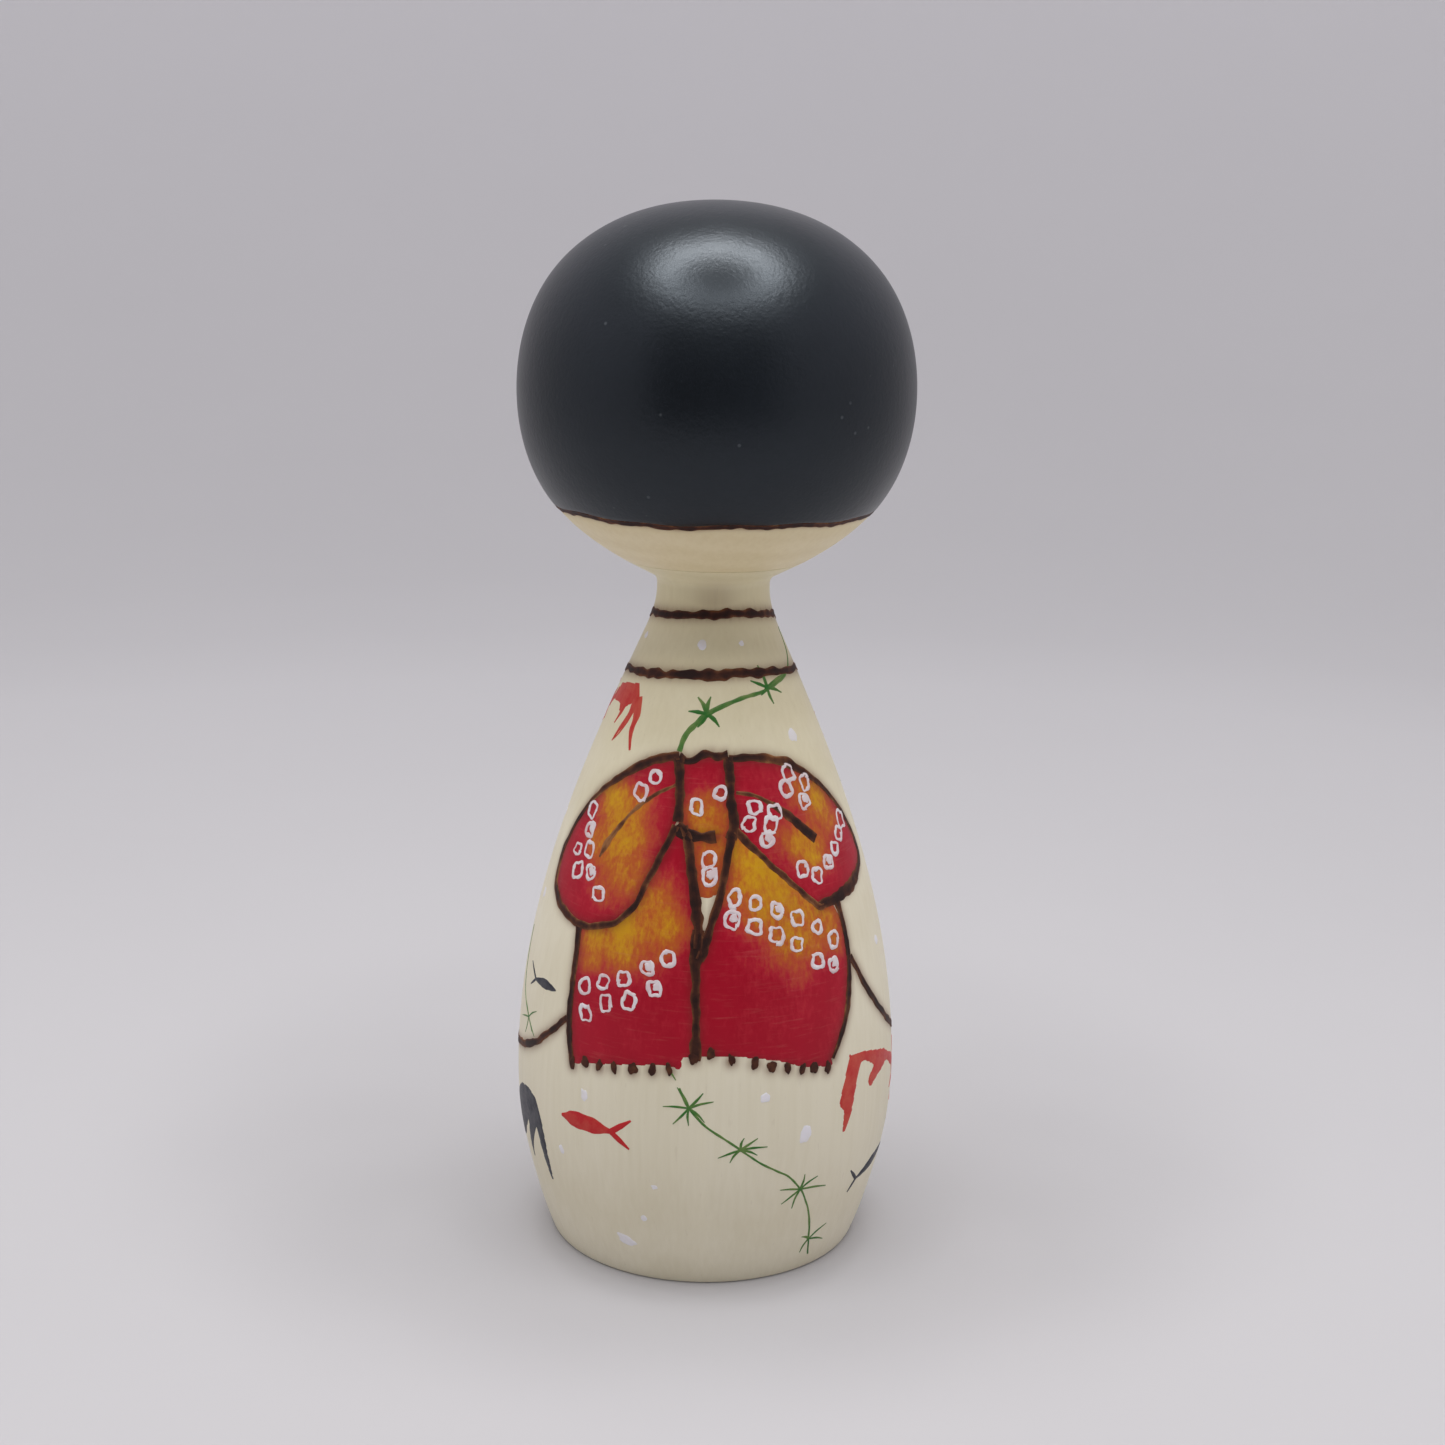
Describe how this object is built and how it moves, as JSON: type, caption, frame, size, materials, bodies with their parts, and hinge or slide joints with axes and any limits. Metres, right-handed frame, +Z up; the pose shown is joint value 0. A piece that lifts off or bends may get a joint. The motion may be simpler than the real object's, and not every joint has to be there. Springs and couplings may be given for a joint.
{
  "type": "kokeshi doll",
  "caption": "Turned wooden kokeshi doll: pear-shaped body, ball head that turns on a neck peg, black lacquered hair and a painted sash bow on the back.",
  "frame": {"origin": "centre of the flat base, on the surface the doll stands on", "axes": "+Z up along the turning axis, +Y the way the face looks, -Y the back with the sash bow, +X the doll's right"},
  "size_m": [0.05, 0.05, 0.135],
  "materials": {
    "bare_wood": "clear satin lacquer",
    "peg_wood": "sanded",
    "hair_black": "satin black lacquer",
    "burned_line": "charred by a pyrography pen, under clear lacquer",
    "paint_white": "brushed paint",
    "paint_green": "brushed paint",
    "paint_red": "brushed paint",
    "paint_black": "brushed paint",
    "sash_red": "brushed paint, red to gold, under clear lacquer"
  },
  "bodies": {
    "body": {"body": "bare_wood", "sash_bow_paint": "sash_red"},
    "head": {"head": "bare_wood", "hair_lacquer": "hair_black", "neck_peg": "peg_wood"}
  },
  "joints": [
    {"name": "head_turn", "type": "hinge", "parent": "body", "child": "head", "pos_m": [0, 0, 0.0908], "axis": [0, 0, 1], "continuous": true}
  ]
}
